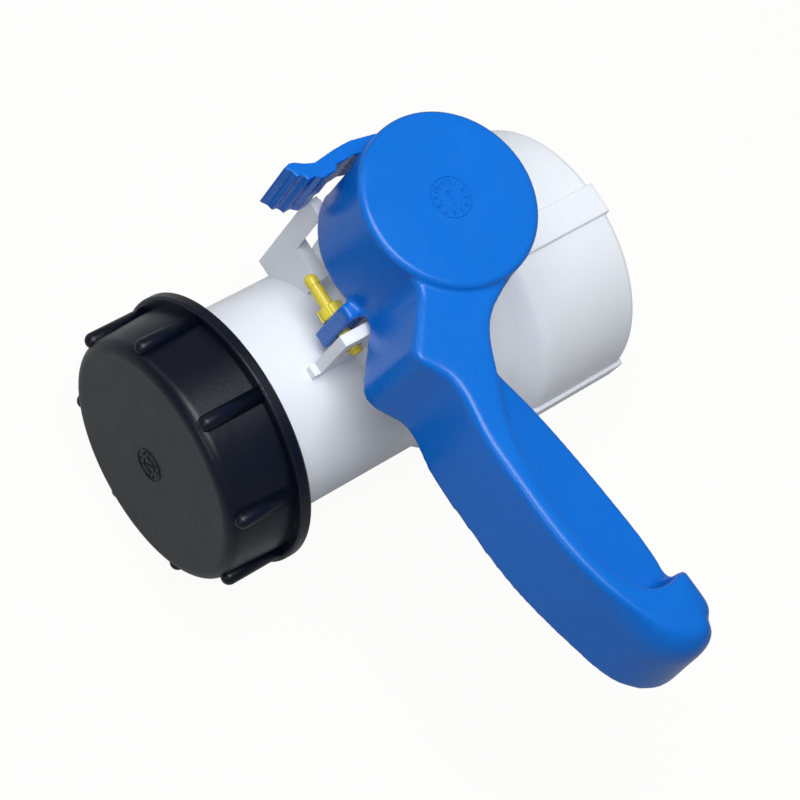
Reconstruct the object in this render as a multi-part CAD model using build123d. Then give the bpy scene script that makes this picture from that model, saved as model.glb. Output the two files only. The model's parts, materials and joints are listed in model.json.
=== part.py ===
"""Outlet ball valve of a liquid tank: lever with latch, screw cap and transit lock screw.

Millimetres. The origin is the centre of the tank-side end face, on the pipe axis.
The pipe runs along Y with its outlet towards -Y, and the stem stands along +Z.
The lever lies towards +X, across the pipe, which is the closed position.
"""
from build123d import *
import math
import os

# Pipe and body, measured from the stem axis along the pipe
tank_end = 110.0
spigot_length = 105.4
spigot_r = 47.8
spigot_bore_r = 38.0
chamber_wall = 4.5
housing_front = 8.0
housing_ramp = 5.0
housing_step = 6.2
housing_wall = 5.5
drum_front = 46.0
drum_ramp = 10.0
drum_step = 8.5
drum_foot_round = 5.0
drum_front_round = 10.0
drum_rear_round = 3.0
drum_skin = 4.0
socket_wall = 4.5
core_depth = 46.0
core_rib_count = 12
core_rib = 2.4
pad_width = 15.0
pad_proud = 1.5
pad_count = 4

# Tank-side socket
socket_r = 49.5
socket_depth = 28.0
gasket_thickness = 3.0
gasket_width = 8.0

# Ball and seats
ball_clearance = 0.8
passage_r = 29.5
seat_gap = 0.1
seat_inner = 22.0
seat_length = 11.0
seat_margin = 1.5
seat_fit = 0.05
lip_length = 7.0
lip_step = 1.0
ball_slot_width = 12.0
ball_slot_length = 32.0
ball_slot_depth = 8.0

# Seat retainer
retainer_bore_r = 39.0
retainer_fit = 0.05
retainer_notch_width = 10.0
retainer_notch_depth = 6.0
retainer_notch_count = 4
ring_section = 3.0
retainer_groove = 50.0

# Stem and tower
stem_r = 10.0
running_fit = 0.05
stem_flange_r = 15.0
stem_flange = 4.0
thrust_washer = 1.6
stem_top_clearance = 0.6
tower_r = 30.0
tower_top = 83.6
neck_r = 16.5
neck_top = 97.0
bush_length = 8.0
bush_wall = 2.5
bush_flange = 1.2
groove_depth = 2.2
groove_width = 3.4
lower_ring_height = 60.0
upper_ring_height = 68.0
clip_thickness = 1.6
clip_width = 3.6
clip_groove_depth = 1.2
clip_opening = 6.0
square_width = 15.0
square_fit = 0.1
tang_fit = 0.1
web_front = 28.0
web_thickness = 6.0
web_reach = 52.5
web_foot = 20.0
web_top = 81.5

# Lever head, a cup set off centre so that it also covers the latch
head_offset = 16.4
head_bottom = 84.7
head_top = 131.7
head_r_top = 38.5
head_r_bottom = 39.9
head_wall = 3.5
head_roof = 4.0
head_round = 2.6
socket_boss_r = 13.0
socket_boss_gap = 0.8
cross_pin_r = 2.5
cross_pin_height = 116.0
cross_pin_half = 13.4

# Lever arm
arm_top = 128.4
arm_edge_round = 2.4
arm_draft = 7.0
round_steps = 3
dome_steps = [0.7, 0.4]
blend_bite = 0.15
scoop_floor = 107.0
scoop_round = 11.0
scoop_hook_share = 0.45
scoop_back = 30.0
scoop_lip = 1.8
tip_round = 9.0
tip_drop = 15.0
tip_round_start = 148.0
tip_round_full = 184.0
horn_round = 3.6
arm_wall = 3.6
arm_rib = 2.4
arm_rib_rise = 3.0
arm_rib_pitch = 24.0
arm_rib_count = 6
rail_roof = 124.0

# Plan of the arm: its corner at the head, then round the free side to the waist
arm_shoulder = (4.0, -34.5)
arm_guard = [(28.6, -56.0), (38.6, -53.4), (47.0, -48.0)]
arm_grip = [(66.0, -48.8), (91.0, -48.6), (118.0, -46.6), (141.0, -42.2), (162.0, -36.2), (177.0, -30.2)]
arm_tip = [(187.3, -20.0), (190.4, -8.0), (186.0, 2.4), (174.0, 5.4)]
arm_rear = [(148.0, 7.6), (121.5, 5.6), (97.0, 2.2), (77.0, -1.2), (58.0, -5.6)]
arm_waist = [(46.0, -8.2), (37.0, -6.4), (31.8, -0.6), (28.4, 6.4), (24.0, 13.6), (16.0, 20.5)]
arm_root = [(0.0, 18.0), (-16.0, 0.0), (0.0, -25.0)]
guard_round = 6.0
shoulder_blend = 9.0

# Plan of the finger scoop: along the rail, then round inside the hooked tip
scoop_rail = [(20.0, 12.0), (26.6, -3.0), (32.0, -11.0), (40.0, -17.2), (52.0, -22.6), (66.6, -29.6)]
scoop_rail += [(87.0, -33.8), (112.0, -34.2), (134.0, -30.4), (146.0, -25.6)]
scoop_hook = [(154.6, -17.6), (156.6, -9.0), (155.4, 0.0)]

# Locking fin under the lever head
fin_left = -6.6
fin_right = 0.8
fin_inner = 33.5
fin_outer = 43.6
fin_bottom = 55.6
fin_top = 88.0
sweep_gap = 1.2

# Lock screw, along X
screw_y = 38.4
screw_z = 68.6
screw_r = 2.85
screw_tip = 11.4
screw_end = -27.6
screw_neck = -22.4
screw_fit = 0.1
collar_r = 5.6
collar_gap = 0.1
collar_thickness = 5.2
collar_notch_count = 6
collar_notch_r = 0.9

# Lug on the spigot that the lock screw reaches into
lug_left = 3.4
lug_right = 8.4
lug_front = 48.4
lug_top = 81.8
lug_foot_front = 3.0
lug_foot_rise = 3.6
lug_hole_r = 3.6
lug_slot_run = 2.6
stop_gap = 0.3

# Latch
latch_pivot_inset = 11.4
latch_pivot_y = 10.0
latch_top = 114.0
latch_bottom = 82.0
latch_arm_bottom = 92.0
latch_hub_r = 5.4
latch_boss_r = 4.2
latch_pin_r = 2.5
latch_pin_top = 124.0
latch_pin_head = 1.7
pin_fit = 0.05
latch_catch = 28.6
nib_reach = 6.7
nib_clearance = 0.5
nib_length = 5.0
nib_gap = 0.6
latch_gap = 0.5
slot_left = 18.5
slot_right = 1.5
slot_front = 31.0
slot_rear = 2.0

# Plan of the latch from its pivot: outer side to the tip, flutes, inner side back to the hub
latch_outer = [(-3.7, 3.8), (-8.5, -2.0), (-13.9, -11.9), (-15.9, -24.0), (-15.6, -31.9), (-14.6, -39.3)]
latch_outer += [(-14.0, -43.2), (-15.4, -47.3), (-17.9, -51.7), (-18.2, -53.5), (-17.3, -56.6)]
latch_flutes = [(-14.2, -54.2), (-11.7, -53.9), (-11.6, -51.5), (-8.5, -50.0), (-8.7, -46.3)]
latch_inner = [(-6.7, -44.1), (-7.0, -40.4), (-7.3, -36.4), (-9.6, -35.6), (-9.4, -31.0)]
latch_inner += [(-9.9, -25.6), (-7.0, -13.0), (-2.0, -5.0), (1.5, -2.0)]

# Spring of the latch
spring_wire = 0.9
spring_turns = 3.5
spring_pitch = 1.3
spring_leg = 11.0
spring_r = 5.2
spring_gap = 0.8

# Screw cap
cap_face = 112.7
cap_back = 75.8
cap_wall = 4.7
cap_taper = 1.5
cap_flange_step = 5.3
cap_flange = 5.6
cap_thread_room = 3.4
cap_lip_gap = 1.9
cap_lip = 4.0
cap_plate = 4.0
cap_round = 5.5
cap_rib_count = 8
cap_rib_r = 3.0
cap_rib_proud = 1.4
cap_rib_front = 110.0
cap_rib_turn = -5.0
cap_rim_round = 1.2
cap_gasket_margin = 1.2
cap_gasket_thickness = 3.0
seal_gap = 0.3

# Derived places
pipe_origin = (0.0, -tank_end, 0.0)
chamber_r = spigot_r - chamber_wall
ball_r = chamber_r - ball_clearance
housing_r = spigot_r + housing_step
retainer_seat_r = housing_r - housing_wall
drum_r = housing_r + drum_step
seat_outer_r = math.sqrt((ball_r + seat_gap) ** 2 - seat_inner ** 2) + seat_margin
seat_front = seat_inner + seat_length
stem_flange_top = ball_r + stem_top_clearance + stem_flange
socket_top = head_top - head_roof
clip_base = neck_top + bush_flange
boss_bottom = clip_base + clip_thickness + 2 + socket_boss_gap
latch_pivot_x = latch_pivot_inset - head_offset - head_r_top
nib_top = head_bottom - nib_clearance
cap_bore_r = spigot_r + cap_thread_room
cap_lip_r = spigot_r + cap_lip_gap
cap_r = cap_bore_r + cap_wall
cap_skirt_r = cap_r + cap_taper
cap_flange_r = cap_skirt_r + cap_flange_step
cap_rib_centre = cap_r + cap_rib_proud
cap_gasket_r = cap_bore_r - cap_gasket_margin

os.makedirs("parts", exist_ok=True)


def place(shape):
    """Move a shape from the stem's own axes to the part's frame."""
    return Pos(*pipe_origin) * shape


def save(name, shape):
    """Write one named piece, moved to the part's frame."""
    export_step(place(shape), f"parts/{name}.step")


def turned(points):
    """Solid turned about the pipe axis from (radius, distance along Y) points."""
    outline = Polyline(*[(r, y) for r, y in points], close=True)
    return revolve(make_face(outline), Axis.Y)


def ring_y(r_out, r_in, y0, y1):
    """Ring about the pipe axis between two places along Y."""
    return turned([(r_in, y0), (r_out, y0), (r_out, y1), (r_in, y1)])


def rod_y(radius, y0, y1):
    """Round bar on the pipe axis between two places along Y."""
    return Pos(0, y0, 0) * Rot(-90, 0, 0) * Cylinder(
        radius, y1 - y0, align=(Align.CENTER, Align.CENTER, Align.MIN))


def rod_z(radius, z0, z1, x=0.0, y=0.0):
    """Upright round bar between two heights."""
    return Pos(x, y, z0) * Cylinder(radius, z1 - z0, align=(Align.CENTER, Align.CENTER, Align.MIN))


def rod_x(radius, x0, x1, y=0.0, z=0.0):
    """Round bar along X between two places."""
    return Pos(x0, y, z) * Rot(0, 90, 0) * Cylinder(
        radius, x1 - x0, align=(Align.CENTER, Align.CENTER, Align.MIN))


def block(x0, x1, y0, y1, z0, z1):
    """Rectangular block between two corners."""
    return Pos((x0 + x1) / 2, (y0 + y1) / 2, (z0 + z1) / 2) * Box(x1 - x0, y1 - y0, z1 - z0)


def make_shell():
    """Turned outside of the body: spigot, ball housing and the rear drum behind its ramp."""
    drum_full = drum_front + drum_ramp
    corners = [(spigot_bore_r, -spigot_length), (spigot_r, -spigot_length), (spigot_r, housing_front),
               (housing_r, housing_front + housing_ramp), (housing_r, drum_front), (drum_r, drum_full),
               (drum_r, tank_end), (spigot_bore_r, tank_end)]
    shell = turned(corners)
    rounds = [(housing_front, spigot_r, drum_foot_round),
              (housing_front + housing_ramp, housing_r, drum_foot_round), (drum_front, housing_r, drum_foot_round), (drum_full, drum_r, drum_front_round),
              (tank_end, drum_r, drum_rear_round)]
    for y, radius, rounding in rounds:
        rims = shell.edges().filter_by(GeomType.CIRCLE)
        rim = rims.sort_by(lambda edge: abs(edge.arc_center.Y - y) + abs(edge.radius - radius))[0]
        shell = fillet(rim, rounding)
    return shell


def drum_pads():
    """Raised pads along the drum, spread round it."""
    pad = block(-pad_width / 2, pad_width / 2, drum_front + drum_ramp, tank_end,
                drum_r - drum_skin + 1, drum_r + pad_proud)
    pad = fillet(pad.edges().filter_by(Axis.Y).sort_by(Axis.Z)[-2:], 1.0)
    return [Rot(0, i * 360 / pad_count, 0) * pad for i in range(pad_count)]


def drum_core():
    """Hollow of the drum between its skin and the socket, open to the tank side, with ribs left."""
    core_out = drum_r - drum_skin
    core_in = socket_r + socket_wall
    core = ring_y(core_out, core_in, tank_end - core_depth, tank_end + 1)
    rib = block(-core_rib / 2, core_rib / 2, tank_end - core_depth - 1, tank_end - 1.5,
                core_in - 1, core_out + 1)
    return core - [Rot(0, (i + 0.5) * 360 / core_rib_count, 0) * rib for i in range(core_rib_count)]


def make_lug():
    """Upright lug on the spigot with a slotted hole for the lock screw, its foot and its stop."""
    root = spigot_r - 3
    plate = block(lug_left, lug_right, -lug_front, -tower_r + 4, root, lug_top)
    plate += block(lug_left, lug_right, -lug_front - lug_foot_front, -lug_front + 1, root - 1,
                   spigot_r + lug_foot_rise)
    hole = rod_x(lug_hole_r, lug_left - 1, lug_right + 1, -screw_y, screw_z)
    hole += rod_x(lug_hole_r, lug_left - 1, lug_right + 1, -screw_y - lug_slot_run, screw_z)
    hole += block(lug_left - 1, lug_right + 1, -screw_y - lug_slot_run, -screw_y,
                  screw_z - lug_hole_r, screw_z + lug_hole_r)
    stop = block(fin_right + stop_gap, lug_left + 1, -fin_outer + 3, -fin_inner - 1,
                 fin_bottom + 0.5, fin_bottom + 6)
    return plate + stop - hole


def make_catch_web():
    """Wing on the side of the housing; its top nib is what the latch catches on."""
    web = block(-web_reach, -tower_r + 4, -web_front, -web_front + web_thickness, web_foot, web_top)
    nib_y = -latch_catch + nib_gap
    nib_left = latch_pivot_x - nib_reach
    web += block(nib_left, -tower_r, nib_y, nib_y + nib_length, web_top - 6, nib_top)
    collar_sweep = math.hypot(fin_left - collar_gap - collar_thickness, screw_y + collar_r)
    screw_sweep = math.hypot(screw_end, screw_y + screw_r)
    swept = max(collar_sweep, screw_sweep) + sweep_gap
    return web - rod_z(swept, fin_bottom - sweep_gap, nib_top + 1)


def make_body():
    """Moulded body: turned shell with pads and core, stem tower, lug, catch wing and bores."""
    body = make_shell() + drum_pads() - drum_core()
    body += rod_z(tower_r, housing_r / 2, tower_top)
    body += rod_z(neck_r, tower_top - 1, neck_top)
    body += make_lug()
    body += make_catch_web()
    open_face = stop_gap - fin_left
    body += block(-fin_outer + 2, -fin_inner, open_face, open_face + 5, housing_r / 2, fin_bottom + 5)
    body -= rod_y(chamber_r, -seat_inner, seat_inner + 1)
    body -= rod_y(retainer_seat_r, seat_inner, tank_end + 1)
    body -= rod_y(seat_outer_r, -seat_front, -seat_inner + 1)
    body -= rod_y(passage_r + lip_step, -seat_front - lip_length - 1, -seat_front + 1)
    body -= rod_y(spigot_bore_r, -spigot_length - 1, -seat_front - lip_length)
    body -= rod_y(socket_r, tank_end - socket_depth, tank_end + 1)
    bore_top = neck_top + 1
    flange_seat = stem_flange_top + thrust_washer
    body -= rod_z(stem_flange_r + running_fit, chamber_r / 2, flange_seat)
    body -= rod_z(stem_r + running_fit, chamber_r, bore_top)
    body -= rod_z(stem_r + bush_wall, neck_top - bush_length, bore_top)
    return body


def make_ball():
    """Bored ball with a slot across its top for the stem's tang."""
    ball = Sphere(ball_r) - rod_x(passage_r, -ball_r - 1, ball_r + 1)
    slot = block(-ball_slot_length / 2, ball_slot_length / 2, -ball_slot_width / 2,
                 ball_slot_width / 2, ball_r - ball_slot_depth, ball_r + 1)
    return ball - slot


def make_seat(side):
    """Seat ring whose inner face follows the ball; side is -1 in front, +1 behind."""
    seat = ring_y(seat_outer_r - seat_fit, passage_r, seat_inner, seat_front)
    seat -= Sphere(ball_r + seat_gap)
    return seat if side > 0 else Rot(0, 0, 180) * seat


def make_retainer():
    """Ring screwed in behind the rear seat, with notches for a pin spanner."""
    start = seat_inner
    end = tank_end - socket_depth - gasket_thickness
    ring = ring_y(retainer_seat_r - retainer_fit, passage_r, start, end)
    ring -= rod_y(seat_outer_r, start - 1, seat_front)
    ring -= rod_y(retainer_bore_r, seat_front + 4, end + 1)
    groove = ring_y(retainer_seat_r + 1, retainer_seat_r - ring_section, retainer_groove,
                    retainer_groove + ring_section + 0.4)
    notch = block(-retainer_notch_width / 2, retainer_notch_width / 2, end - retainer_notch_depth,
                  end + 1, passage_r - 2, retainer_seat_r - 5)
    notches = [Rot(0, i * 360 / retainer_notch_count, 0) * notch for i in range(retainer_notch_count)]
    return ring - groove - notches


def make_retainer_ring():
    """Seal ring in the retainer's groove."""
    mid = retainer_groove + (ring_section + 0.4) / 2
    section = Pos(retainer_seat_r - ring_section / 2 - 0.05, mid) * Circle(ring_section / 2 - 0.05)
    return revolve(section, Axis.Y)


def make_stem():
    """Stem with tang, flange, two seal grooves, clip groove and square top."""
    flange_top = stem_flange_top
    flange_bottom = flange_top - stem_flange
    stem = rod_z(stem_r, flange_bottom, clip_base + clip_thickness + 2)
    stem += rod_z(stem_flange_r, flange_bottom, flange_top)
    tang_half = ball_slot_width / 2 - tang_fit
    tang = block(-stem_flange_r, stem_flange_r, -tang_half, tang_half,
                 ball_r - ball_slot_depth + 0.3, flange_bottom)
    stem += tang & rod_z(stem_flange_r, 0, flange_top)
    half = square_width / 2
    square = block(-half, half, -half, half, neck_top, socket_top - 1)
    stem += chamfer(square.edges().filter_by(Axis.Z), 1.5)
    for height in (lower_ring_height, upper_ring_height):
        stem -= rod_z(stem_r + 1, height, height + groove_width) - rod_z(
            stem_r - groove_depth, height - 1, height + groove_width + 1)
    stem -= rod_z(stem_r + 1, clip_base, clip_base + clip_thickness) - rod_z(
        stem_r - clip_groove_depth, clip_base - 1, clip_base + clip_thickness + 1)
    stem -= rod_x(cross_pin_r + pin_fit, -square_width, square_width, 0, cross_pin_height)
    return stem


def make_stem_ring(height):
    """Seal ring in one of the stem's grooves."""
    section = Pos(stem_r - groove_depth / 2, height + groove_width / 2) * Circle(groove_depth / 2 - 0.02)
    return revolve(Plane.XZ * section, Axis.Z)


def make_stem_bush():
    """Flanged guide bush in the mouth of the neck."""
    outer = rod_z(stem_r + bush_wall, neck_top - bush_length, neck_top)
    outer += rod_z(stem_r + bush_wall + 2, neck_top, neck_top + bush_flange - 0.1)
    return outer - rod_z(stem_r + running_fit, neck_top - bush_length - 1, neck_top + bush_flange + 1)


def make_clip():
    """Open spring clip in the stem's groove above the bush."""
    inner = stem_r - clip_groove_depth
    top = clip_base + clip_thickness
    clip = rod_z(inner + clip_width, clip_base, top) - rod_z(inner, clip_base - 1, top + 1)
    gap = block(-clip_opening / 2, clip_opening / 2, 0, stem_r * 2, clip_base - 1, top + 1)
    return clip - gap


def make_thrust_washer():
    """Flat washer between the stem's flange and the body."""
    base = stem_flange_top
    washer = rod_z(stem_flange_r - 0.3, base, base + thrust_washer)
    return washer - rod_z(stem_r + 0.3, base - 1, base + thrust_washer + 1)


def inset(points, distances):
    """Plan points moved to the left of their direction of travel, each by its own distance."""
    moved = []
    for i, ((x, y), distance) in enumerate(zip(points, distances)):
        before = points[max(i - 1, 0)]
        after = points[min(i + 1, len(points) - 1)]
        dx, dy = after[0] - before[0], after[1] - before[1]
        length = math.hypot(dx, dy)
        moved.append((x - dy / length * distance, y + dx / length * distance))
    return moved


def lean(height):
    """How far the arm's drafted sides have moved in at a height."""
    return (height - head_bottom) * math.tan(math.radians(arm_draft))


def quarter(height, radius, drop):
    """How far a rounded top edge has moved in at a height, for its radius and its drop."""
    share = min(max((height - arm_top + drop) / drop, 0.0), 1.0)
    return radius * (1 - math.sqrt(1 - share * share))


def edge_round(point, height):
    """Rounding of the arm's top edge at a plan point: small along the grip, a dome at the tip."""
    share = (point[0] - tip_round_start) / (tip_round_full - tip_round_start)
    share = min(max(share, 0.0), 1.0)
    return max(quarter(height, arm_edge_round, arm_edge_round),
               share * quarter(height, tip_round, tip_drop))


def blend_points(line, height):
    """Hollow blend between the head and the arm's shoulder: start, middle and end of its arc."""
    (x0, y0), (x1, y1) = line
    length = math.hypot(x1 - x0, y1 - y0)
    ux, uy = (x1 - x0) / length, (y1 - y0) / length
    nx, ny = uy, -ux
    slope = (head_r_bottom - head_r_top) / (head_top - head_bottom)
    radius = head_r_bottom - slope * (height - head_bottom) - blend_bite
    hx, hy = -head_offset - x0, -y0
    across = shoulder_blend - (hx * nx + hy * ny)
    along = hx * ux + hy * uy + math.sqrt((radius + shoulder_blend) ** 2 - across ** 2)
    cx = x0 + along * ux + shoulder_blend * nx
    cy = y0 + along * uy + shoulder_blend * ny
    gap = math.hypot(cx + head_offset, cy)
    on_head = (cx - (cx + head_offset) / gap * shoulder_blend, cy - cy / gap * shoulder_blend)
    on_line = (cx - nx * shoulder_blend, cy - ny * shoulder_blend)
    mx, my = (on_head[0] + on_line[0]) / 2 - cx, (on_head[1] + on_line[1]) / 2 - cy
    reach = math.hypot(mx, my)
    middle = (cx + mx / reach * shoulder_blend, cy + my / reach * shoulder_blend)
    return on_head, middle, on_line


def arm_sides(distance, height, rounding_height):
    """Shoulder line and free side of the arm at one height, moved in by a distance."""
    free = arm_guard + arm_grip + arm_tip + arm_rear + arm_waist
    move = [distance + lean(height) + edge_round(point, rounding_height) for point in free]
    shoulder = inset([arm_shoulder, arm_guard[0]], [move[0], move[0]])
    side = inset(free, move)
    side[0] = shoulder[1]
    return shoulder, side


def arm_plan(distance, height, rounding_height):
    """Closed plan of the lever arm at one height."""
    shoulder, side = arm_sides(distance, height, rounding_height)
    on_head, middle, on_line = blend_points(shoulder, height)
    corners = [side[-1]] + arm_root + [on_head]
    edges = [ThreePointArc(on_head, middle, on_line), Line(on_line, shoulder[1]), Spline(*side)]
    edges += [Line(a, b) for a, b in zip(corners, corners[1:])]
    return Pos(0, 0, height) * make_face(Wire(edges))


def corner_wedge(corner, toward_a, toward_b, radius, height):
    """Face between a rounded plan corner and the space outside it."""
    a = Vector(toward_a[0] - corner[0], toward_a[1] - corner[1]).normalized()
    b = Vector(toward_b[0] - corner[0], toward_b[1] - corner[1]).normalized()
    inward = (a + b).normalized()
    half = math.radians(a.get_angle(b) / 2)
    tip = Vector(*corner)
    start, end = tip + a * (radius / math.tan(half)), tip + b * (radius / math.tan(half))
    middle = tip + inward * (radius / math.sin(half) - radius)
    outside = tip - inward * radius
    wire = Wire([ThreePointArc(start, middle, end), Line(end, outside), Line(outside, start)])
    return Pos(0, 0, height) * make_face(wire)


def guard_wedge(height):
    """Section of the cutter that rounds the guard's upright corner."""
    shoulder, side = arm_sides(0.0, height, head_bottom)
    return corner_wedge(side[0], shoulder[0], side[1], guard_round, height)


def arm_block():
    """Outer form of the arm, leaning in with height, its top edge rounded and its tip domed."""
    heights = [head_bottom, arm_top - tip_drop]
    heights += [arm_top - tip_drop * share for share in dome_steps]
    heights += [arm_top - arm_edge_round * (1 - math.sin(math.radians(90 * step / round_steps)))
                for step in range(round_steps + 1)]
    arm = loft([arm_plan(0.0, height, height) for height in heights], ruled=True)
    return arm - loft([guard_wedge(head_bottom), guard_wedge(head_top)], ruled=True)


def scoop_plan(distance, height):
    """Closed plan of the finger scoop, its curved side moved in by a distance."""
    rail = inset(scoop_rail, [distance] * len(scoop_rail))
    hook = inset(scoop_hook, [distance * scoop_hook_share] * len(scoop_hook))
    corners = [hook[-1], (scoop_hook[-1][0], scoop_back), (scoop_rail[0][0], scoop_back), rail[0]]
    edges = [Spline(*rail, *hook)]
    edges += [Line(a, b) for a, b in zip(corners, corners[1:])]
    return Pos(0, 0, height) * make_face(Wire(edges))


def scoop_cutter(grow=0.0):
    """Cutter for the scoop, rounded into its floor and over its rim; grow leaves a wall round it."""
    sections = []
    angles = [math.radians(90 * step / round_steps) for step in range(round_steps + 1)]
    for angle in angles:
        height = scoop_floor - grow + scoop_round * (1 - math.cos(angle))
        sections.append(scoop_plan(scoop_round * (1 - math.sin(angle)) - grow, height))
    for angle in angles:
        height = arm_top - scoop_lip * (1 - math.sin(angle))
        sections.append(scoop_plan(-grow - scoop_lip * (1 - math.cos(angle)), height))
    sections.append(scoop_plan(-grow - scoop_lip, head_top + 1))
    return loft(sections, ruled=True)


def horn_wedge(height):
    """Section of the cutter that rounds the end of the hook above the scoop's floor."""
    x = scoop_hook[-1][0]
    y = arm_tip[-1][1] - lean(height) - arm_edge_round
    return corner_wedge((x, y), (x, y - 1), (x + 1, y), horn_round, height)


def arm_pocket():
    """Hollow under the arm, with cross ribs: shallow below the scoop, deep under the rail."""
    pocket = loft([arm_plan(arm_wall, head_bottom, head_bottom),
                   arm_plan(arm_wall, rail_roof, rail_roof + arm_wall)], ruled=True)
    pocket -= scoop_cutter(arm_wall)
    first = head_r_bottom + arm_rib_pitch - head_offset
    front, back = arm_guard[0][1], arm_rear[0][1]
    for i in range(arm_rib_count):
        x = first + i * arm_rib_pitch
        pocket -= block(x, x + arm_rib, front, back, head_bottom + arm_rib_rise, head_top)
    return pocket - rod_z(head_r_bottom, head_bottom - 2, head_top, -head_offset)


def make_head():
    """Closed cup of the lever, hollow from below, with its rounded top edge."""
    height = head_top - head_bottom
    base = (Align.CENTER, Align.CENTER, Align.MIN)
    cup = Pos(-head_offset, 0, head_bottom) * Cone(head_r_bottom, head_r_top, height, align=base)
    return fillet(cup.edges().sort_by(Axis.Z)[-1], head_round)


def make_handle():
    """Lever: cup-shaped head with stem socket, hollow ribbed arm, latch slot and locking fin."""
    horn = loft([horn_wedge(scoop_floor), horn_wedge(head_top)], ruled=True)
    handle = make_head() + (arm_block() - scoop_cutter() - horn)
    handle -= arm_pocket()
    base = (Align.CENTER, Align.CENTER, Align.MIN)
    inside = Cone(head_r_bottom - head_wall, head_r_top - head_wall, socket_top - head_bottom, align=base)
    inside = Pos(-head_offset, 0, head_bottom) * inside
    fittings = rod_z(socket_boss_r, boss_bottom, socket_top + 1)
    fittings += rod_z(latch_boss_r, latch_top + latch_gap, socket_top + 1, latch_pivot_x, latch_pivot_y)
    fittings += block(-arm_rib / 2, arm_rib / 2, -head_r_top, head_r_top, boss_bottom + 5, socket_top + 1)
    handle -= inside - fittings
    fin = block(fin_left, fin_right, -fin_outer, -fin_inner, fin_bottom, fin_top)
    handle += fin
    half = square_width / 2 + square_fit
    handle -= block(-half, half, -half, half, boss_bottom - 1, socket_top)
    handle -= rod_x(cross_pin_r + pin_fit, -socket_boss_r - 1, socket_boss_r + 1, 0, cross_pin_height)
    handle -= block(latch_pivot_x - slot_left, latch_pivot_x - slot_right, latch_pivot_y - slot_front,
                    latch_pivot_y + slot_rear, head_bottom - 1, latch_top + 1.5)
    handle -= rod_z(latch_pin_r + pin_fit, latch_top, latch_pin_top + 0.5, latch_pivot_x, latch_pivot_y)
    return handle - rod_x(screw_r + screw_fit, fin_left - 1, fin_right + 1, -screw_y, screw_z)


def make_latch():
    """Side latch: hub, curved arm through the head's wall and a fluted finger pad."""
    outline = latch_outer + latch_flutes + latch_inner
    plan = Pos(latch_pivot_x, latch_pivot_y) * make_face(Polyline(*outline, close=True))
    arm = extrude(Pos(0, 0, latch_arm_bottom) * plan, latch_top - latch_arm_bottom)
    pad = extrude(Pos(0, 0, latch_bottom) * plan, latch_top - latch_bottom)
    reach = math.hypot(*latch_outer[-1])
    pad -= block(latch_pivot_x - reach, latch_pivot_x + reach, -latch_catch, latch_pivot_y + reach,
                 latch_bottom - 1, latch_top + 1)
    hub = rod_z(latch_hub_r, latch_arm_bottom, latch_top, latch_pivot_x, latch_pivot_y)
    bore = rod_z(latch_pin_r + running_fit, latch_bottom, latch_top + 1, latch_pivot_x, latch_pivot_y)
    return arm + pad + hub - bore


def make_latch_pin():
    """Pin of the latch, pressed into the head's boss, with a head below the hub."""
    head_z = latch_arm_bottom - 0.3
    pin = rod_z(latch_pin_r, head_z, latch_pin_top, latch_pivot_x, latch_pivot_y)
    return pin + rod_z(latch_boss_r, head_z - latch_pin_head, head_z, latch_pivot_x, latch_pivot_y)


def make_latch_spring():
    """Wire spring coiled round the boss above the latch, with two straight legs."""
    start = latch_top + spring_gap + spring_wire / 2
    height = spring_pitch * spring_turns
    helix = Helix(spring_pitch, height, spring_r, lefthand=True)
    lower = Line(helix @ 0 - helix % 0 * spring_leg, helix @ 0)
    upper = Line(helix @ 1, helix @ 1 + helix % 1 * spring_leg)
    path = Wire([lower, helix, upper])
    section = Plane(origin=path @ 0, z_dir=path % 0) * Circle(spring_wire / 2)
    wire = sweep(section, path=path, is_frenet=True)
    return Pos(latch_pivot_x, latch_pivot_y, start) * Rot(0, 0, 180) * wire


def make_cross_pin():
    """Pin through the socket boss and the stem's square."""
    return rod_x(cross_pin_r, -cross_pin_half, cross_pin_half, 0, cross_pin_height)


def make_lock_screw():
    """Transit lock screw with rounded ends and a groove behind its head."""
    shank = rod_x(screw_r, screw_end + screw_r, screw_tip - screw_r, -screw_y, screw_z)
    shank += Pos(screw_end + screw_r, -screw_y, screw_z) * Sphere(screw_r)
    shank += Pos(screw_tip - screw_r, -screw_y, screw_z) * Sphere(screw_r)
    waist = rod_x(screw_r + 1, screw_neck, screw_neck + 1.2, -screw_y, screw_z)
    waist -= rod_x(screw_r - 0.5, screw_neck - 1, screw_neck + 3, -screw_y, screw_z)
    return shank - waist


def make_collar():
    """Notched collar that rides on the lock screw beside the fin."""
    right = fin_left - collar_gap
    left = right - collar_thickness
    collar = rod_x(collar_r, left, right, 0, 0)
    rim = collar.edges().filter_by(GeomType.CIRCLE)
    collar = chamfer(rim, 0.5)
    collar -= rod_x(screw_r + running_fit, left - 1, right + 1, 0, 0)
    notch = rod_x(collar_notch_r, left - 1, right + 1, collar_r, 0)
    collar -= [Rot(i * 360 / collar_notch_count, 0, 0) * notch for i in range(collar_notch_count)]
    return Pos(0, -screw_y, screw_z) * collar


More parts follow.
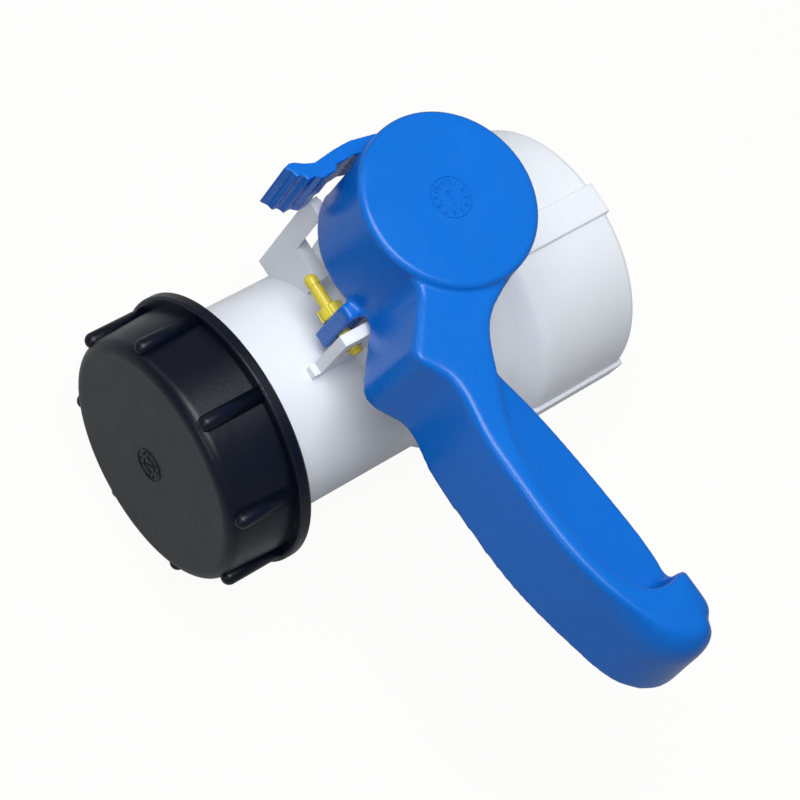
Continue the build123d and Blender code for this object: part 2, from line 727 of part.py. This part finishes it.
def make_cap():
    """Screw cap: rounded cup with a rear flange, an inner lip and round ribs."""
    flange_start = -cap_back - cap_flange
    inner_face = -cap_face + cap_plate
    cap = turned([(0, -cap_face), (cap_r, -cap_face), (cap_skirt_r, flange_start),
                  (cap_flange_r, flange_start), (cap_flange_r, -cap_back), (cap_lip_r, -cap_back),
                  (cap_lip_r, -cap_back - cap_lip), (cap_bore_r, -cap_back - cap_lip),
                  (cap_bore_r, inner_face), (0, inner_face)])
    circles = cap.edges().filter_by(GeomType.CIRCLE)
    cap = fillet(circles.group_by(Axis.Y)[0].sort_by(SortBy.RADIUS)[-1], cap_round)
    rims = [edge for edge in cap.edges().filter_by(GeomType.CIRCLE) if edge.radius > cap_flange_r - 0.1]
    cap = fillet(rims, cap_rim_round)
    rib = rod_y(cap_rib_r, -cap_rib_front, flange_start + 1)
    rib = fillet(rib.edges().filter_by(GeomType.CIRCLE).sort_by(Axis.Y)[0], cap_rib_r * 0.9)
    rib = Pos(cap_rib_centre, 0, 0) * rib
    turn = 360 / cap_rib_count
    for i in range(cap_rib_count):
        cap += Rot(0, -cap_rib_turn - i * turn, 0) * rib
    return cap


def make_cap_gasket():
    """Flat seal inside the cap, facing the end of the spigot."""
    front = -cap_face + cap_plate
    return ring_y(cap_gasket_r, spigot_bore_r - 2, front, front + cap_gasket_thickness)


def make_inlet_gasket():
    """Flat seal behind the retainer, flush with the bottom of the tank-side socket."""
    bottom = tank_end - socket_depth
    outer = retainer_seat_r - 0.3
    return ring_y(outer, outer - gasket_width, bottom - gasket_thickness, bottom)


save("valve_body", make_body())
save("ball", make_ball())
save("front_seat", make_seat(-1))
save("rear_seat", make_seat(1))
save("seat_retainer", make_retainer())
save("retainer_ring", make_retainer_ring())
save("inlet_gasket", make_inlet_gasket())
save("stem", make_stem())
save("lower_stem_ring", make_stem_ring(lower_ring_height))
save("upper_stem_ring", make_stem_ring(upper_ring_height))
save("thrust_washer", make_thrust_washer())
save("stem_bush", make_stem_bush())
save("stem_clip", make_clip())
save("handle", make_handle())
save("cross_pin", make_cross_pin())
save("latch", make_latch())
save("latch_pin", make_latch_pin())
save("latch_spring", make_latch_spring())
save("lock_screw", make_lock_screw())
save("screw_collar", make_collar())
save("screw_cap", make_cap())
save("cap_gasket", make_cap_gasket())
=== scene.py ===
import json
import math

import bmesh
import bpy
from mathutils import Matrix, Vector


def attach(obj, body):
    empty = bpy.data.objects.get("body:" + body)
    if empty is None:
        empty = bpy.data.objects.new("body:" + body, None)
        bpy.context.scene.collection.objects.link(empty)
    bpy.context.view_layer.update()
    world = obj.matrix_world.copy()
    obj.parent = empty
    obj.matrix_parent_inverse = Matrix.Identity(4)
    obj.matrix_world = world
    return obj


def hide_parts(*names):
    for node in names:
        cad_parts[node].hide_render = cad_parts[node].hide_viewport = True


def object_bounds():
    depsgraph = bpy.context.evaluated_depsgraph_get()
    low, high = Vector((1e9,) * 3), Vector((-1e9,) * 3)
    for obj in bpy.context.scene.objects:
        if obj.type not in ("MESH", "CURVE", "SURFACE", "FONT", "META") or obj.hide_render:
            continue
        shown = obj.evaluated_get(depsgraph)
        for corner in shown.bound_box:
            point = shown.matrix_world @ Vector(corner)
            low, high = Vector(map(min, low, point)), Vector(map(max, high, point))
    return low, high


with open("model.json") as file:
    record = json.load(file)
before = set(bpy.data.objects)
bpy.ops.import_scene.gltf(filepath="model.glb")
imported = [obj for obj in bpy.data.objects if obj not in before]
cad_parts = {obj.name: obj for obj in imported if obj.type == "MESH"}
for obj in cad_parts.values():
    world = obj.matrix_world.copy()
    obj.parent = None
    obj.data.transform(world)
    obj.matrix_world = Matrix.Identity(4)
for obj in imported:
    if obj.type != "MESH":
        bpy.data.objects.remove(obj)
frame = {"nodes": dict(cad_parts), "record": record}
cad_box = [list(corner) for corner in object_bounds()]

# Places in the part's frame, in metres, from the CAD source
PIPE_Y = -0.110
SPIGOT_R = 0.0478
SPIGOT_END = PIPE_Y - 0.1054
THREAD_PITCH = 0.008
THREAD_DEPTH = 0.0015
CAP_FACE_Y = PIPE_Y - 0.1127
CAP_BORE_R = 0.0512
CAP_THREAD_DEPTH = 0.0014
CAP_RIB_CENTRE = 0.0573
CAP_FLANGE_Y = PIPE_Y - 0.0814
SOCKET_R = 0.0495
SOCKET_PITCH = 0.006
SOCKET_THREAD_START = -0.0215
HEAD_X = -0.0164
HEAD_TOP = 0.1317
SCREW_Y = PIPE_Y - 0.0384
SCREW_Z = 0.0686
SCREW_R = 0.00285
SCREW_PITCH = 0.002

# The scene's own detail: sizes in metres, turns in radians
ARM_START = 0.018
ARM_FADE = 0.008
HEAD_WALL_LOW = 0.0840
HEAD_WALL_HIGH = 0.1200
HOOK_FOOT = 0.100
THREAD_FADE = 0.12
RIB_COUNT = 8
RIB_R = 0.0036
RIB_FIRST_TURN = math.radians(-5.0)
DIAL_R = 0.0092
DIAL_TURN = math.radians(128)
MARK_R = 0.0080
MARK_Z = -0.0014
RELIEF = 0.0004
SINK = 0.0002
POINTER_TURN = 0.9
MARK_POINTER_TURN = 0.7
LEVER_VOXEL = 0.0007
LATCH_VOXEL = 0.0004

# Stage and camera
FLOOR_HALF = 4
FLOOR_GAP = 0.0005
SKY_STRENGTH = 0.26
AZIMUTH = math.radians(12.453)
ELEVATION = math.radians(60.159)
ROLL = math.radians(46.575)
TARGET = Vector((0.0275, -0.104, -0.0018))
DISTANCE = 1.03105
LENS_MM = 104.74
SENSOR_MM = 36.0


# Materials
def new_material(name):
    """An empty node material with its shader and output."""
    mat = bpy.data.materials.new(name)
    mat.use_nodes = True
    tree = mat.node_tree
    tree.nodes.clear()
    out = tree.nodes.new("ShaderNodeOutputMaterial")
    shader = tree.nodes.new("ShaderNodeBsdfPrincipled")
    tree.links.new(shader.outputs[0], out.inputs[0])
    return mat, tree, shader


def noise(tree, scale, detail=4.0, rough=0.55, stretch=None):
    """Noise texture in object space; stretch scales the axes."""
    coords = tree.nodes.new("ShaderNodeTexCoord")
    tex = tree.nodes.new("ShaderNodeTexNoise")
    tex.inputs["Scale"].default_value = scale
    tex.inputs["Detail"].default_value = detail
    tex.inputs["Roughness"].default_value = rough
    source = coords.outputs["Object"]
    if stretch:
        mapping = tree.nodes.new("ShaderNodeMapping")
        mapping.inputs["Scale"].default_value = stretch
        tree.links.new(source, mapping.inputs["Vector"])
        source = mapping.outputs[0]
    tree.links.new(source, tex.inputs["Vector"])
    return tex.outputs["Fac"]


def ramp(tree, fac, stops):
    """Colour ramp over a factor; stops are (position, colour)."""
    node = tree.nodes.new("ShaderNodeValToRGB")
    elements = node.color_ramp.elements
    elements[0].position, elements[0].color = stops[0][0], (*stops[0][1], 1)
    elements[1].position, elements[1].color = stops[-1][0], (*stops[-1][1], 1)
    for position, colour in stops[1:-1]:
        element = elements.new(position)
        element.color = (*colour, 1)
    tree.links.new(fac, node.inputs[0])
    return node.outputs[0]


def spread(tree, fac, low, high, start=0.3, end=0.7):
    """A factor mapped from start..end to low..high."""
    node = tree.nodes.new("ShaderNodeMapRange")
    node.inputs["From Min"].default_value = start
    node.inputs["From Max"].default_value = end
    node.inputs["To Min"].default_value = low
    node.inputs["To Max"].default_value = high
    tree.links.new(fac, node.inputs["Value"])
    return node.outputs[0]


def bump(tree, shader, height, strength, distance, before=None):
    """Bump from a height, added to an earlier bump."""
    node = tree.nodes.new("ShaderNodeBump")
    node.inputs["Strength"].default_value = strength
    node.inputs["Distance"].default_value = distance
    tree.links.new(height, node.inputs["Height"])
    if before:
        tree.links.new(before, node.inputs["Normal"])
    tree.links.new(node.outputs[0], shader.inputs["Normal"])
    return node.outputs[0]


def plastic(name, dark, light, rough, grain_scale, grain, subsurface=0.0, radius=(1, 1, 1),
            sss_scale=0.002, specular=0.5, orange=0.0):
    """Moulded plastic: slow colour variation, uneven gloss, fine grain and a slight orange peel."""
    mat, tree, shader = new_material(name)
    slow = noise(tree, 14.0, 3.0)
    fine = noise(tree, grain_scale, 2.0)
    tree.links.new(ramp(tree, slow, [(0.3, dark), (0.7, light)]), shader.inputs["Base Color"])
    smudge = noise(tree, 60.0, 6.0, 0.7)
    tree.links.new(spread(tree, smudge, rough - 0.05, rough + 0.06), shader.inputs["Roughness"])
    shader.inputs["Specular IOR Level"].default_value = specular
    shader.inputs["Subsurface Weight"].default_value = subsurface
    shader.inputs["Subsurface Radius"].default_value = radius
    shader.inputs["Subsurface Scale"].default_value = sss_scale
    first = bump(tree, shader, fine, grain, 0.0002)
    if orange:
        bump(tree, shader, noise(tree, 220.0, 1.0), orange, 0.0006, first)
    return mat


def steel_material():
    """Drawn stainless steel with fine lengthwise lines."""
    mat, tree, shader = new_material("stainless_wire")
    shader.inputs["Metallic"].default_value = 1.0
    lines = noise(tree, 900.0, 2.0, 0.5, (1.0, 1.0, 0.1))
    stops = [(0.3, (0.42, 0.43, 0.45)), (0.7, (0.62, 0.63, 0.65))]
    tree.links.new(ramp(tree, lines, stops), shader.inputs["Base Color"])
    tree.links.new(spread(tree, lines, 0.22, 0.38), shader.inputs["Roughness"])
    bump(tree, shader, lines, 0.15, 0.0001)
    return mat


def rubber_material():
    """Matt black seal rubber with a dusty bloom."""
    mat, tree, shader = new_material("seal_rubber")
    bloom = noise(tree, 90.0, 5.0, 0.7)
    stops = [(0.35, (0.010, 0.010, 0.011)), (0.75, (0.035, 0.035, 0.036))]
    tree.links.new(ramp(tree, bloom, stops), shader.inputs["Base Color"])
    tree.links.new(spread(tree, bloom, 0.62, 0.8), shader.inputs["Roughness"])
    bump(tree, shader, noise(tree, 1500.0, 2.0), 0.2, 0.0002)
    return mat


WHITE = plastic("natural_white", (0.72, 0.755, 0.82), (0.76, 0.795, 0.86), 0.36, 1800.0, 0.05,
                subsurface=0.35, radius=(0.9, 1.0, 1.2), sss_scale=0.006, specular=0.35, orange=0.05)
BLUE = plastic("moulded_blue", (0.0008, 0.116, 0.50), (0.001, 0.127, 0.545), 0.26, 2600.0, 0.10,
               specular=0.28, orange=0.05)
BLACK = plastic("grained_black", (0.0015, 0.003, 0.009), (0.003, 0.005, 0.012), 0.30, 2400.0, 0.40,
                specular=0.27, orange=0.08)
YELLOW = plastic("lock_yellow", (0.60, 0.49, 0.035), (0.70, 0.59, 0.06), 0.34, 1800.0, 0.08,
                 subsurface=0.25, radius=(1.0, 0.8, 0.2), sss_scale=0.0015)
SEAT = plastic("seat_white", (0.74, 0.74, 0.71), (0.80, 0.80, 0.78), 0.42, 1500.0, 0.05,
               subsurface=0.2, radius=(1, 1, 1), sss_scale=0.002)
RETAINER = plastic("retainer_white", (0.66, 0.72, 0.78), (0.72, 0.78, 0.83), 0.40, 1500.0, 0.06,
                   subsurface=0.25, radius=(0.9, 1, 1.1), sss_scale=0.003)
BALL = plastic("ball_white", (0.68, 0.73, 0.79), (0.73, 0.78, 0.84), 0.18, 900.0, 0.03,
               subsurface=0.2, radius=(0.9, 1, 1.1), sss_scale=0.003)
STEM = plastic("stem_grey", (0.055, 0.057, 0.060), (0.075, 0.077, 0.080), 0.42, 1500.0, 0.1)
STEEL = steel_material()
RUBBER = rubber_material()

SLOTS = {
    "body_plastic": WHITE, "blue_plastic": BLUE, "black_plastic": BLACK, "yellow_plastic": YELLOW,
    "seat_plastic": SEAT, "retainer_plastic": RETAINER, "ball_plastic": BALL, "stem_plastic": STEM,
    "seal_rubber": RUBBER, "steel": STEEL,
}

for entry in frame["record"]["subparts"]:
    node = frame["nodes"][entry["node"]]
    node.data.materials.clear()
    node.data.materials.append(SLOTS[entry["material_slot"]])


# Mesh helpers
def dressed(name, mesh, body, slot_name):
    """An object with this mesh alone, in a slot's material, that rides on a body."""
    mesh.name = name
    mesh.materials.clear()
    mesh.materials.append(SLOTS[slot_name])
    obj = bpy.data.objects.new(name, mesh)
    bpy.context.scene.collection.objects.link(obj)
    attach(obj, body)
    return obj


def baked(shape):
    """The mesh of an object with its modifiers worked out; the object goes."""
    bpy.context.view_layer.update()
    graph = bpy.context.evaluated_depsgraph_get()
    mesh = bpy.data.meshes.new_from_object(shape.evaluated_get(graph))
    mesh.transform(shape.matrix_world)
    bpy.data.objects.remove(shape)
    return mesh


def piece(name, verts, faces, body, slot_name, smooth=True):
    """A mesh from points and faces that rides on a body and takes a slot's material."""
    mesh = bpy.data.meshes.new(name)
    mesh.from_pydata([tuple(v) for v in verts], [], faces)
    mesh.validate()
    mesh.update()
    for polygon in mesh.polygons:
        polygon.use_smooth = smooth
    dressed(name, mesh, body, slot_name)


def thread_ridge(name, radius, depth, pitch, start, turns, body, slot_name, centre=(0, 0),
                 axis="y", base=0.45, crest=0.18, inward=False, steps=72, sink=0.0003):
    """A helical thread ridge with tapered ends; base and crest are half widths in pitches."""
    sign = -1.0 if inward else 1.0
    profile = [(-base, -sink), (-crest, depth), (crest, depth), (base, -sink)]
    count = int(turns * steps)
    verts, faces = [], []
    for i in range(count + 1):
        angle = 2 * math.pi * i / steps
        along = start + pitch * i / steps
        fade = min(1.0, i / (steps * THREAD_FADE), (count - i) / (steps * THREAD_FADE))
        for offset, height in profile:
            lifted = height if height < 0 else -sink + (height + sink) * fade
            r = radius + sign * lifted
            d = along + offset * pitch
            u, v = centre[0] + r * math.cos(angle), centre[1] + r * math.sin(angle)
            verts.append((u, d, v) if axis == "y" else (d, u, v))
    width = len(profile)
    for i in range(count):
        row, after = i * width, (i + 1) * width
        for k in range(width - 1):
            faces.append((row + k, row + k + 1, after + k + 1, after + k))
        faces.append((row + width - 1, row, after, after + width - 1))
    faces.append(tuple(range(width)))
    faces.append(tuple(range(count * width, count * width + width))[::-1])
    piece(name, verts, faces, body, slot_name)


def ridge_ring(verts, faces, centre, inner, outer, z0, z1, steps=64):
    """Adds a low flat ring with a bevelled section to a mesh list, lying in the XY plane."""
    bevel = (z1 - z0) * 0.6
    section = [(inner, z0), (inner + bevel, z1), (outer - bevel, z1), (outer, z0)]
    first = len(verts)
    for i in range(steps):
        a = 2 * math.pi * i / steps
        for r, z in section:
            verts.append((centre[0] + r * math.cos(a), centre[1] + r * math.sin(a), z))
    width = len(section)
    for i in range(steps):
        j = (i + 1) % steps
        for k in range(width - 1):
            faces.append((first + i * width + k, first + j * width + k,
                          first + j * width + k + 1, first + i * width + k + 1))


def bar(verts, faces, centre, angle, r0, r1, half, z0, z1):
    """Adds a short raised radial bar to a mesh list, lying in the XY plane."""
    c, s = math.cos(angle), math.sin(angle)
    first = len(verts)
    for z, shrink in ((z0, 0.0), (z1, (z1 - z0) * 0.5)):
        for r, w in ((r0 + shrink, -half + shrink), (r1 - shrink, -half + shrink),
                     (r1 - shrink, half - shrink), (r0 + shrink, half - shrink)):
            verts.append((centre[0] + r * c - w * s, centre[1] + r * s + w * c, z))
    for k in range(4):
        n = (k + 1) % 4
        faces.append((first + k, first + n, first + 4 + n, first + 4 + k))
    faces.append((first + 4, first + 5, first + 6, first + 7))


def number(name, text, size, matrix, body, slot_name, height=0.0003):
    """A raised plain numeral, as a mesh."""
    curve = bpy.data.curves.new(name, "FONT")
    curve.body = text
    curve.size = size
    curve.extrude = height / 2
    curve.align_x = "CENTER"
    curve.align_y = "CENTER"
    source = bpy.data.objects.new(name + "_text", curve)
    bpy.context.scene.collection.objects.link(source)
    mesh = baked(source)
    mesh.transform(matrix)
    dressed(name, mesh, body, slot_name)


def soft_zone(shape, name, passes, weight_at):
    """More smoothing where weight_at, a function of a point, is above zero."""
    group = shape.vertex_groups.new(name=name)
    for vertex in shape.data.vertices:
        weight = weight_at(vertex.co)
        if weight > 0:
            group.add([vertex.index], min(1.0, weight), "REPLACE")
    smooth = shape.modifiers.new(name, "SMOOTH")
    smooth.factor = 0.5
    smooth.iterations = passes
    smooth.vertex_group = name


def around(centre, radius):
    """Weight that falls from the middle of a sphere to its edge."""
    centre = Vector(centre)
    return lambda point: 1.6 * (1.0 - (point - centre).length / radius)


def round_lump(mesh, balls, foot):
    """Adds the convex form over balls (centre, radius) and the same balls at the foot's height."""
    lump = bmesh.new()
    for (x, y, z), radius in balls:
        for height in (z, foot):
            place = Matrix.Translation((x, y, height))
            bmesh.ops.create_icosphere(lump, subdivisions=4, radius=radius, matrix=place)
    hull = bmesh.ops.convex_hull(lump, input=lump.verts)
    inside = [item for item in hull["geom_interior"] if isinstance(item, bmesh.types.BMVert)]
    bmesh.ops.delete(lump, geom=inside, context="VERTS")
    joined = bpy.data.meshes.new("lump")
    lump.to_mesh(joined)
    lump.free()
    both = bmesh.new()
    both.from_mesh(mesh)
    both.from_mesh(joined)
    both.to_mesh(mesh)
    both.free()
    bpy.data.meshes.remove(joined)


def softened(node_name, name, body, slot_name, voxel, passes, zones=(), lumps=()):
    """Stands for a CAD node: its own form with the mould's soft edges, from a fine even mesh."""
    source = frame["nodes"][node_name]
    shape = bpy.data.objects.new(name + "_shape", source.data.copy())
    for balls, foot in lumps:
        round_lump(shape.data, balls, foot)
    bpy.context.scene.collection.objects.link(shape)
    shape.matrix_world = source.matrix_world
    remesh = shape.modifiers.new("even", "REMESH")
    remesh.mode = "VOXEL"
    remesh.voxel_size = voxel
    remesh.use_smooth_shade = True
    smooth = shape.modifiers.new("soften", "SMOOTH")
    smooth.factor = 0.5
    smooth.iterations = passes
    mesh = baked(shape)
    if zones:
        shape = bpy.data.objects.new(name + "_zones", mesh)
        bpy.context.scene.collection.objects.link(shape)
        for i, (count, weight_at) in enumerate(zones):
            soft_zone(shape, f"zone_{i}", count, weight_at)
        mesh = baked(shape)
    for polygon in mesh.polygons:
        polygon.use_smooth = True
    obj = dressed(name, mesh, body, slot_name)
    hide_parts(node_name)


# Mouldings with soft edges
def lever_edges(point):
    """The arm and the head's wall above its bottom rim; the fin and the top edge keep their form."""
    arm = (point.x - ARM_START) / ARM_FADE
    wall = 1.0 if HEAD_WALL_LOW < point.z < HEAD_WALL_HIGH else 0.0
    return max(arm, wall)


# Smoothing passes with the place of their effect
LEVER_ZONES = [
    (22, lever_edges),
    (60, around((0.1570, PIPE_Y - 0.0010, 0.1270), 0.010)),
    (60, around((0.1550, PIPE_Y + 0.0020, 0.1110), 0.009)),
]
# Balls that round the end of the hook, with the height of their feet
HOOK_LUMPS = [
    ([((0.1592, PIPE_Y - 0.0030, 0.1240), 0.0043),
      ((0.1700, PIPE_Y - 0.0046, 0.1195), 0.0083)], HOOK_FOOT),
    ([((0.1572, PIPE_Y - 0.0010, 0.1060), 0.0045)], HOOK_FOOT),
]
softened("handle", "lever_moulding", "lever", "blue_plastic", LEVER_VOXEL, 5,
         LEVER_ZONES, HOOK_LUMPS)
softened("latch", "latch_moulding", "latch", "blue_plastic", LATCH_VOXEL, 8)

# Threads
thread_ridge("spigot_thread", SPIGOT_R, THREAD_DEPTH, THREAD_PITCH, SPIGOT_END + 0.0045, 2.9,
             "body", "body_plastic")
thread_ridge("cap_thread", CAP_BORE_R, CAP_THREAD_DEPTH, THREAD_PITCH, SPIGOT_END + 0.0085, 2.2,
             "cap", "black_plastic", inward=True)
thread_ridge("socket_thread", SOCKET_R, CAP_THREAD_DEPTH, SOCKET_PITCH, SOCKET_THREAD_START, 2.9,
             "body", "body_plastic", inward=True)
thread_ridge("lock_screw_thread", SCREW_R, 0.00009, SCREW_PITCH, -0.006, 8.2, "lock_screw",
             "yellow_plastic", centre=(SCREW_Y, SCREW_Z), axis="x", sink=0.0001, steps=36)


# Dial on the lever head, with plain numbers
def dial(prefix, centre, top, radius, height, turn, body, slot_name, digits):
    """Raised date-wheel style dial: a ring, ticks, numbers round it and a pointer with a head."""
    verts, faces = [], []
    z0, z1 = top - SINK, top + height
    ridge_ring(verts, faces, centre, radius - 0.0007, radius, z0, z1)
    for i in range(len(digits)):
        tick = turn + math.tau * (i + 0.5) / len(digits)
        bar(verts, faces, centre, tick, radius * 0.46, radius * 0.56, 0.00022, z0, z1)
    pointer = turn + POINTER_TURN
    reach = radius * 0.38
    bar(verts, faces, centre, pointer, -reach, reach, 0.00045, z0, z1)
    tip = (centre[0] + reach * math.cos(pointer), centre[1] + reach * math.sin(pointer))
    for side in (-1, 1):
        bar(verts, faces, tip, pointer + side * 2.5, 0.0, radius * 0.24, 0.0004, z0, z1)
    piece(prefix + "_rings", verts, faces, body, slot_name, smooth=False)
    number_r = radius * 0.72
    for i, text in enumerate(digits):
        angle = turn - math.tau * i / len(digits)
        x, y = centre[0] + number_r * math.cos(angle), centre[1] + number_r * math.sin(angle)
        matrix = Matrix.Translation((x, y, top)) @ Matrix.Rotation(angle - math.pi / 2, 4, "Z")
        number(f"{prefix}_number_{text}", text, radius * 0.36, matrix, body, slot_name, height * 2)


dial("head_dial", (HEAD_X, PIPE_Y), HEAD_TOP - 0.00005, DIAL_R, RELIEF, DIAL_TURN,
     "lever", "blue_plastic", [str(i) for i in range(1, 13)])


def cap_mark(centre_z, face_y, radius, height):
    """Small plain dial in the middle of the cap's face: two rings, ticks and a pointer."""
    verts, faces = [], []
    middle = (0, 0)
    inner, pointer = radius * 0.42, radius * 0.28
    ridge_ring(verts, faces, middle, radius - 0.0006, radius, -SINK, height, 48)
    ridge_ring(verts, faces, middle, inner, inner + 0.0005, -SINK, height, 48)
    for i in range(12):
        tick = math.tau * i / 12
        bar(verts, faces, middle, tick, radius * 0.58, radius * 0.82, 0.00028, -SINK, height)
    bar(verts, faces, middle, MARK_POINTER_TURN, -pointer, pointer, 0.0004, -SINK, height)
    placed = [(x, face_y - z, centre_z + y) for x, y, z in verts]
    piece("cap_mark", placed, faces, "cap", "black_plastic", smooth=False)


cap_mark(MARK_Z, CAP_FACE_Y, MARK_R, RELIEF)


def cap_ribs(count, first, centre_r, radius, front, rear, steps=24, rings=7):
    """Round grip ribs along Y with domed front ends, over the thinner ones of the solid."""
    tip_r = 0.00004
    stations = []
    for k in range(rings - 1, -1, -1):
        a = math.pi / 2 * k / (rings - 1)
        stations.append((front + radius * (1 - math.sin(a)), max(radius * math.cos(a), tip_r)))
    stations.append((rear, radius))
    for n in range(count):
        turn = first + math.tau * n / count
        c, s = math.cos(turn), math.sin(turn)
        verts, faces = [], []
        for y, r in stations:
            for i in range(steps):
                a = math.tau * i / steps
                x, z = centre_r + r * math.cos(a), r * math.sin(a)
                verts.append((x * c - z * s, y, x * s + z * c))
        for k in range(len(stations) - 1):
            row, after = k * steps, (k + 1) * steps
            for i in range(steps):
                j = (i + 1) % steps
                faces.append((row + i, row + j, after + j, after + i))
        faces.append(tuple(range(steps))[::-1])
        last = (len(stations) - 1) * steps
        faces.append(tuple(range(last, last + steps)))
        piece(f"cap_rib_{n}", verts, faces, "cap", "black_plastic")


cap_ribs(RIB_COUNT, RIB_FIRST_TURN, CAP_RIB_CENTRE, RIB_R,
         CAP_FACE_Y + 0.0020, CAP_FLANGE_Y + 0.0008)


# Stage, camera and light
def stage_material():
    """Pale floor: white to the camera, with the object's shadow kept."""
    mat = bpy.data.materials.new("pale_floor")
    mat.use_nodes = True
    tree = mat.node_tree
    tree.nodes.clear()
    out = tree.nodes.new("ShaderNodeOutputMaterial")
    mix = tree.nodes.new("ShaderNodeMixShader")
    diffuse = tree.nodes.new("ShaderNodeBsdfDiffuse")
    glow = tree.nodes.new("ShaderNodeEmission")
    path = tree.nodes.new("ShaderNodeLightPath")
    diffuse.inputs["Color"].default_value = (0.42, 0.424, 0.43, 1)
    glow.inputs["Color"].default_value = (1.03, 1.03, 1.025, 1)
    share = tree.nodes.new("ShaderNodeMath")
    share.operation = "MULTIPLY"
    share.inputs[1].default_value = 0.92
    tree.links.new(path.outputs["Is Camera Ray"], share.inputs[0])
    tree.links.new(share.outputs[0], mix.inputs[0])
    tree.links.new(diffuse.outputs[0], mix.inputs[1])
    tree.links.new(glow.outputs[0], mix.inputs[2])
    tree.links.new(mix.outputs[0], out.inputs[0])
    return mat


floor_z = cad_box[0][2] - FLOOR_GAP
floor_mesh = bpy.data.meshes.new("floor")
floor_mesh.from_pydata([(x * FLOOR_HALF, y * FLOOR_HALF, floor_z)
                        for x, y in ((-1, -1), (1, -1), (1, 1), (-1, 1))], [], [(0, 1, 2, 3)])
floor_mesh.materials.append(stage_material())
floor = bpy.data.objects.new("floor", floor_mesh)
bpy.context.scene.collection.objects.link(floor)

world = bpy.data.worlds.new("studio")
world.use_nodes = True
bpy.context.scene.world = world
background = world.node_tree.nodes["Background"]
background.inputs["Color"].default_value = (0.93, 0.96, 1.0, 1)
background.inputs["Strength"].default_value = SKY_STRENGTH

back = Vector((math.sin(AZIMUTH) * math.cos(ELEVATION), -math.cos(AZIMUTH) * math.cos(ELEVATION),
               math.sin(ELEVATION)))
level_right = Vector((0, 0, 1)).cross(back).normalized()
level_up = back.cross(level_right)
right = level_right * math.cos(ROLL) + level_up * math.sin(ROLL)
up = level_up * math.cos(ROLL) - level_right * math.sin(ROLL)

camera_data = bpy.data.cameras.new("camera")
camera_data.lens = LENS_MM
camera_data.sensor_width = SENSOR_MM
camera = bpy.data.objects.new("camera", camera_data)
bpy.context.scene.collection.objects.link(camera)
turned = Matrix((right, up, back)).transposed().to_4x4()
camera.matrix_world = Matrix.Translation(TARGET + back * DISTANCE) @ turned
bpy.context.scene.camera = camera


def softbox(name, place, aim, size, power, colour=(1, 1, 1)):
    """A square area lamp aimed at a point."""
    data = bpy.data.lights.new(name, "AREA")
    data.shape = "SQUARE"
    data.size = size
    data.energy = power
    data.color = colour
    lamp = bpy.data.objects.new(name, data)
    bpy.context.scene.collection.objects.link(lamp)
    lamp.location = place
    lamp.rotation_mode = "QUATERNION"
    lamp.rotation_quaternion = (aim - place).to_track_quat("-Z", "Y")


middle = Vector((0.03, -0.11, 0.03))
softbox("key_lamp", middle + Vector((-0.15, -0.25, 1.2)), middle, 0.8, 17.0, (1.0, 0.995, 0.98))
softbox("side_lamp", middle + Vector((-1.0, -0.4, 0.55)), middle, 0.35, 0.7, (0.95, 0.98, 1.0))
softbox("front_lamp", middle + Vector((0.15, -1.1, 0.65)), middle, 0.25, 1.5)

scene = bpy.context.scene
scene.view_settings.view_transform = "Standard"

bpy.context.view_layer.update()
